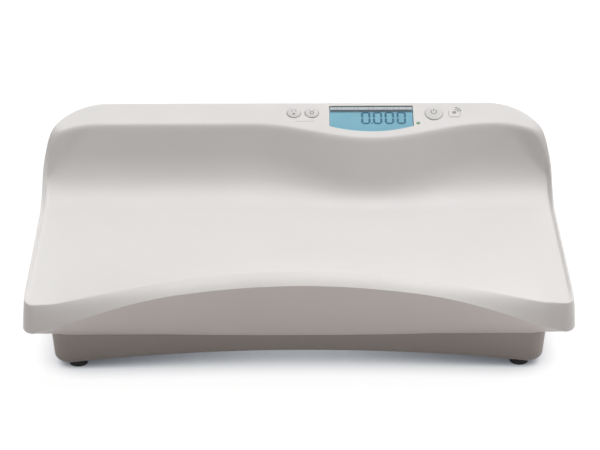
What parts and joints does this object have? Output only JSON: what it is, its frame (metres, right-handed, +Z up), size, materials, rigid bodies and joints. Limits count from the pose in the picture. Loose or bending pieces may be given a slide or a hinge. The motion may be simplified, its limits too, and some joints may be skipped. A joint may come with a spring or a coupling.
{
  "type": "baby scale",
  "caption": "Electronic baby scale: wide moulded trough with a rounded back wall, tilted control panel with display and keys, and a low base on screw-in feet.",
  "frame": {"origin": "bottom centre: midway between the left and right edges and between the front and rear edges, level with the soles of the feet", "axes": "+X to the right as seen from the front, +Y to the rear where the control panel is, +Z up"},
  "size_m": [0.551, 0.32, 0.179],
  "materials": {
    "tray_white": "semi-matte moulded white",
    "skirt_white": "matte moulded off-white",
    "pan_grey": "matte moulded warm grey",
    "key_white": "matte white with printed symbol",
    "window_clear": "clear moulded lens",
    "display_frame_grey": "matte",
    "lcd_blue": "backlit liquid crystal, light blue",
    "backlight_white": "diffuse light guide",
    "mains_green": "clear green light guide",
    "board_green": "solder-masked glass laminate",
    "zinc_steel": "zinc-plated",
    "cell_aluminium": "milled",
    "silicone_grey": "matte silicone",
    "foot_rubber": "matte black",
    "wire_grey": "matte insulation",
    "battery_sleeve": "printed shrink sleeve, plain",
    "socket_black": "matte black"
  },
  "bodies": {
    "housing": {"tray_shell": "tray_white", "skirt_shell": "skirt_white", "bottom_housing": "pan_grey", "display_window": "window_clear", "display_bezel": "display_frame_grey", "lcd_panel": "lcd_blue", "backlight": "backlight_white", "display_board": "board_green", "display_screw_1": "zinc_steel", "display_screw_2": "zinc_steel", "key_mat": "silicone_grey", "power_key_mat": "silicone_grey", "mains_light": "mains_green", "ribbon_cable": "wire_grey", "main_board": "board_green", "shield_can": "zinc_steel", "board_screw_1": "zinc_steel", "board_screw_2": "zinc_steel", "board_screw_3": "zinc_steel", "board_screw_4": "zinc_steel", "load_cell_fl": "cell_aluminium", "load_cell_fr": "cell_aluminium", "load_cell_rl": "cell_aluminium", "load_cell_rr": "cell_aluminium", "cell_screw_fl": "zinc_steel", "cell_screw_fr": "zinc_steel", "cell_screw_rl": "zinc_steel", "cell_screw_rr": "zinc_steel", "cell_lead_fl": "wire_grey", "cell_lead_fr": "wire_grey", "cell_lead_rl": "wire_grey", "cell_lead_rr": "wire_grey", "battery_tray": "pan_grey", "battery_1": "battery_sleeve", "battery_2": "battery_sleeve", "battery_3": "battery_sleeve", "battery_4": "battery_sleeve", "battery_5": "battery_sleeve", "battery_6": "battery_sleeve", "contact_front": "zinc_steel", "contact_rear": "zinc_steel", "power_socket": "socket_black", "housing_screw_1": "zinc_steel", "housing_screw_2": "zinc_steel", "housing_screw_3": "zinc_steel", "housing_screw_4": "zinc_steel", "housing_screw_5": "zinc_steel", "housing_screw_6": "zinc_steel"},
    "hold_key": {"hold_key": "key_white"},
    "tare_key": {"tare_key": "key_white"},
    "power_key": {"power_key": "key_white"},
    "battery_door": {"battery_door": "pan_grey"},
    "foot_stud_fl": {"foot_stud_fl": "zinc_steel"},
    "foot_stud_fr": {"foot_stud_fr": "zinc_steel"},
    "foot_stud_rl": {"foot_stud_rl": "zinc_steel"},
    "foot_stud_rr": {"foot_stud_rr": "zinc_steel"},
    "foot_pad_fl": {"foot_pad_fl": "foot_rubber"},
    "foot_pad_fr": {"foot_pad_fr": "foot_rubber"},
    "foot_pad_rl": {"foot_pad_rl": "foot_rubber"},
    "foot_pad_rr": {"foot_pad_rr": "foot_rubber"}
  },
  "joints": [
    {"name": "hold_key_press", "type": "slide", "parent": "housing", "child": "hold_key", "axis": [0, 0.4067, -0.9135], "range_m": [0, 0.0006], "stiffness_N_per_m": 2500},
    {"name": "tare_key_press", "type": "slide", "parent": "housing", "child": "tare_key", "axis": [0, 0.4067, -0.9135], "range_m": [0, 0.0006], "stiffness_N_per_m": 2500},
    {"name": "power_key_press", "type": "slide", "parent": "housing", "child": "power_key", "axis": [0, 0.4067, -0.9135], "range_m": [0, 0.0006], "stiffness_N_per_m": 2500},
    {"name": "battery_door_slide", "type": "slide", "parent": "housing", "child": "battery_door", "axis": [0, 1, 0], "range_m": [0, 0.115]},
    {"name": "foot_fl_lift", "type": "slide", "parent": "housing", "child": "foot_stud_fl", "axis": [0, 0, -1], "range_m": [0, 0.006]},
    {"name": "foot_fl_turn", "type": "hinge", "parent": "foot_stud_fl", "child": "foot_pad_fl", "pos_m": [-0.2256, -0.104, 0], "axis": [0, 0, -1], "range_deg": [0, 1730]},
    {"name": "foot_fr_lift", "type": "slide", "parent": "housing", "child": "foot_stud_fr", "axis": [0, 0, -1], "range_m": [0, 0.006]},
    {"name": "foot_fr_turn", "type": "hinge", "parent": "foot_stud_fr", "child": "foot_pad_fr", "pos_m": [0.2256, -0.104, 0], "axis": [0, 0, -1], "range_deg": [0, 1730]},
    {"name": "foot_rl_lift", "type": "slide", "parent": "housing", "child": "foot_stud_rl", "axis": [0, 0, -1], "range_m": [0, 0.006]},
    {"name": "foot_rl_turn", "type": "hinge", "parent": "foot_stud_rl", "child": "foot_pad_rl", "pos_m": [-0.2256, 0.112, 0], "axis": [0, 0, -1], "range_deg": [0, 1730]},
    {"name": "foot_rr_lift", "type": "slide", "parent": "housing", "child": "foot_stud_rr", "axis": [0, 0, -1], "range_m": [0, 0.006]},
    {"name": "foot_rr_turn", "type": "hinge", "parent": "foot_stud_rr", "child": "foot_pad_rr", "pos_m": [0.2256, 0.112, 0], "axis": [0, 0, -1], "range_deg": [0, 1730]}
  ],
  "couplings": [
    {"joint": "foot_fl_turn", "follows": "foot_fl_lift", "rad_per_m": 5026.5},
    {"joint": "foot_fr_turn", "follows": "foot_fr_lift", "rad_per_m": 5026.5},
    {"joint": "foot_rl_turn", "follows": "foot_rl_lift", "rad_per_m": 5026.5},
    {"joint": "foot_rr_turn", "follows": "foot_rr_lift", "rad_per_m": 5026.5}
  ]
}
